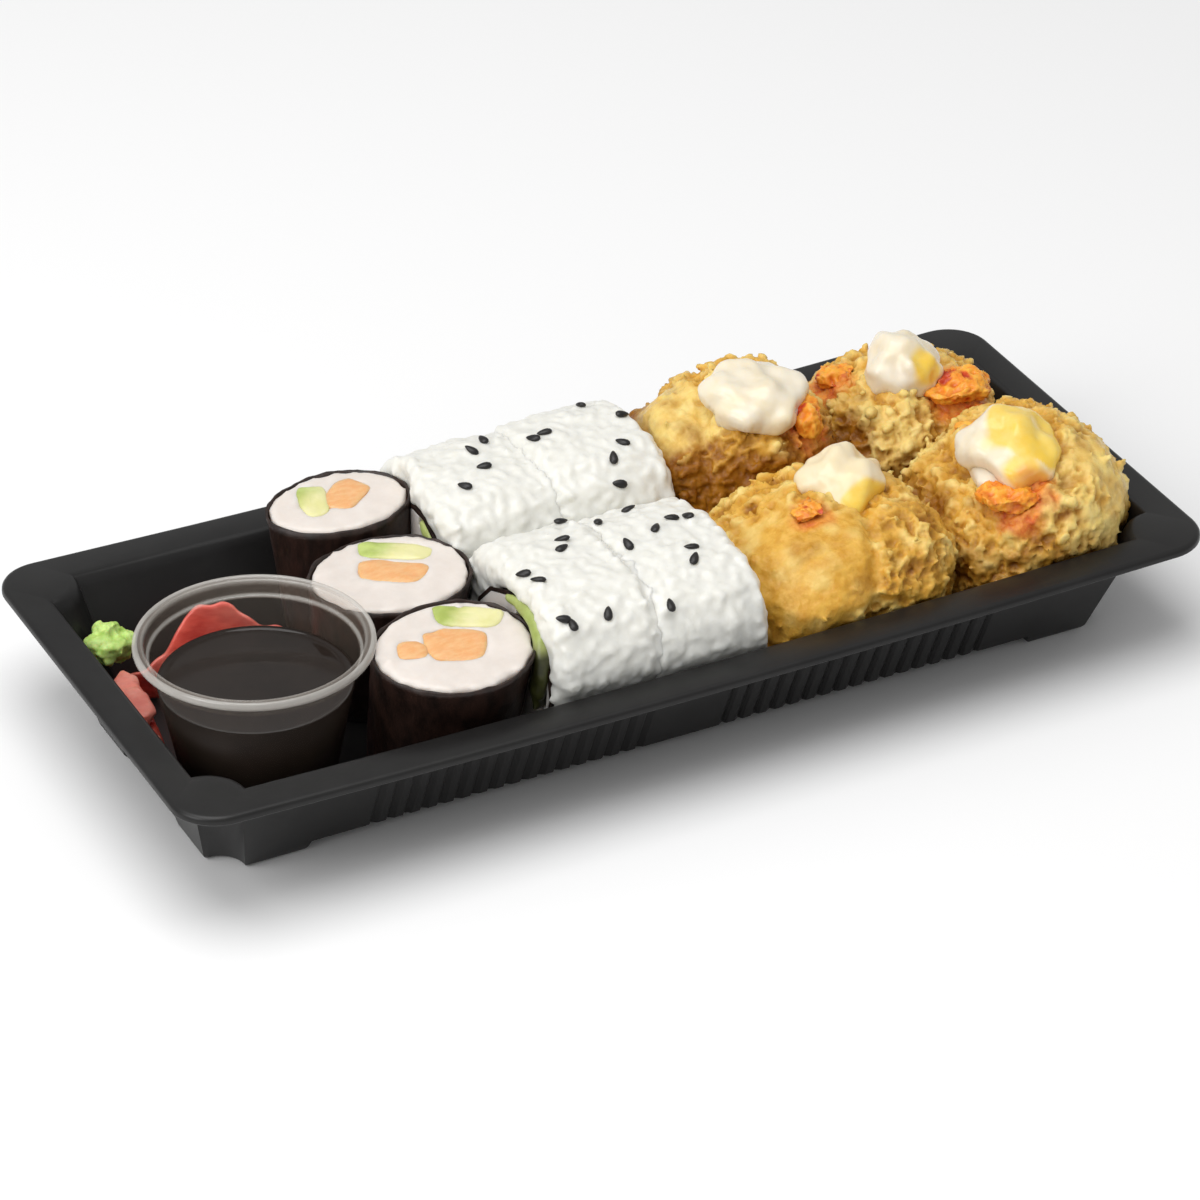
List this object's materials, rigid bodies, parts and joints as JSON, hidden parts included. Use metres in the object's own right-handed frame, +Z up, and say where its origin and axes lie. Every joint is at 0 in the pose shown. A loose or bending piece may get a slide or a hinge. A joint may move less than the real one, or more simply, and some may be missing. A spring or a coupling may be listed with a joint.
{
  "type": "takeaway sushi tray",
  "caption": "Black rectangular tray of cut rice rolls, fried rolls with toppings and seaweed-wrapped rolls, with a clear cup of dark sauce, sliced ginger and green paste.",
  "frame": {"origin": "centre of the rectangle that the tray's rim covers, at the level the tray's feet stand on", "axes": "+X along the tray away from the sauce cup, +Y across the tray, +Z up"},
  "size_m": [0.243, 0.109, 0.0528],
  "materials": {
    "black_plastic": "thermoformed black plastic sheet, satin",
    "clear_plastic": "thin clear plastic, glossy",
    "soy_sauce": "soy sauce, dark, level and shiny",
    "nori": "pressed dried seaweed, damp",
    "rice": "cooked sushi rice, moist grains",
    "salmon": "raw salmon, moist",
    "avocado": "ripe avocado, moist",
    "crust": "fried crumb crust, rough",
    "mayonnaise": "mayonnaise, smooth and shiny",
    "chilli_paste": "chilli paste, wet",
    "wasabi": "green paste, grainy",
    "pickled_ginger": "pickled ginger slices, moist"
  },
  "bodies": {
    "root": {"tray": "black_plastic", "sauce_cup": "clear_plastic", "soy_sauce": "soy_sauce", "maki_1_nori": "nori", "maki_1_rice": "rice", "maki_1_avocado": "avocado", "maki_1_salmon": "salmon", "maki_2_nori": "nori", "maki_2_rice": "rice", "maki_2_avocado": "avocado", "maki_2_salmon": "salmon", "maki_3_nori": "nori", "maki_3_rice": "rice", "maki_3_avocado": "avocado", "maki_3_salmon": "salmon", "maki_3_salmon_strip": "salmon", "rice_roll_1_rice": "rice", "rice_roll_1_nori": "nori", "rice_roll_1_core_rice": "rice", "rice_roll_1_avocado": "avocado", "rice_roll_2_rice": "rice", "rice_roll_2_nori": "nori", "rice_roll_2_core_rice": "rice", "rice_roll_2_avocado": "avocado", "rice_roll_3_rice": "rice", "rice_roll_3_nori": "nori", "rice_roll_3_core_rice": "rice", "rice_roll_3_avocado": "avocado", "rice_roll_4_rice": "rice", "rice_roll_4_nori": "nori", "rice_roll_4_core_rice": "rice", "rice_roll_4_avocado": "avocado", "fried_roll_1": "crust", "mayonnaise_1": "mayonnaise", "fried_roll_2": "crust", "mayonnaise_2": "mayonnaise", "fried_roll_3": "crust", "mayonnaise_3": "mayonnaise", "fried_roll_4": "crust", "mayonnaise_4": "mayonnaise", "chilli_paste_1": "chilli_paste", "chilli_paste_2": "chilli_paste", "chilli_paste_3": "chilli_paste", "chilli_paste_4": "chilli_paste", "chilli_paste_5": "chilli_paste", "wasabi": "wasabi", "ginger_back": "pickled_ginger", "ginger_fold": "pickled_ginger", "ginger_deep": "pickled_ginger", "ginger_tail": "pickled_ginger"}
  },
  "joints": []
}
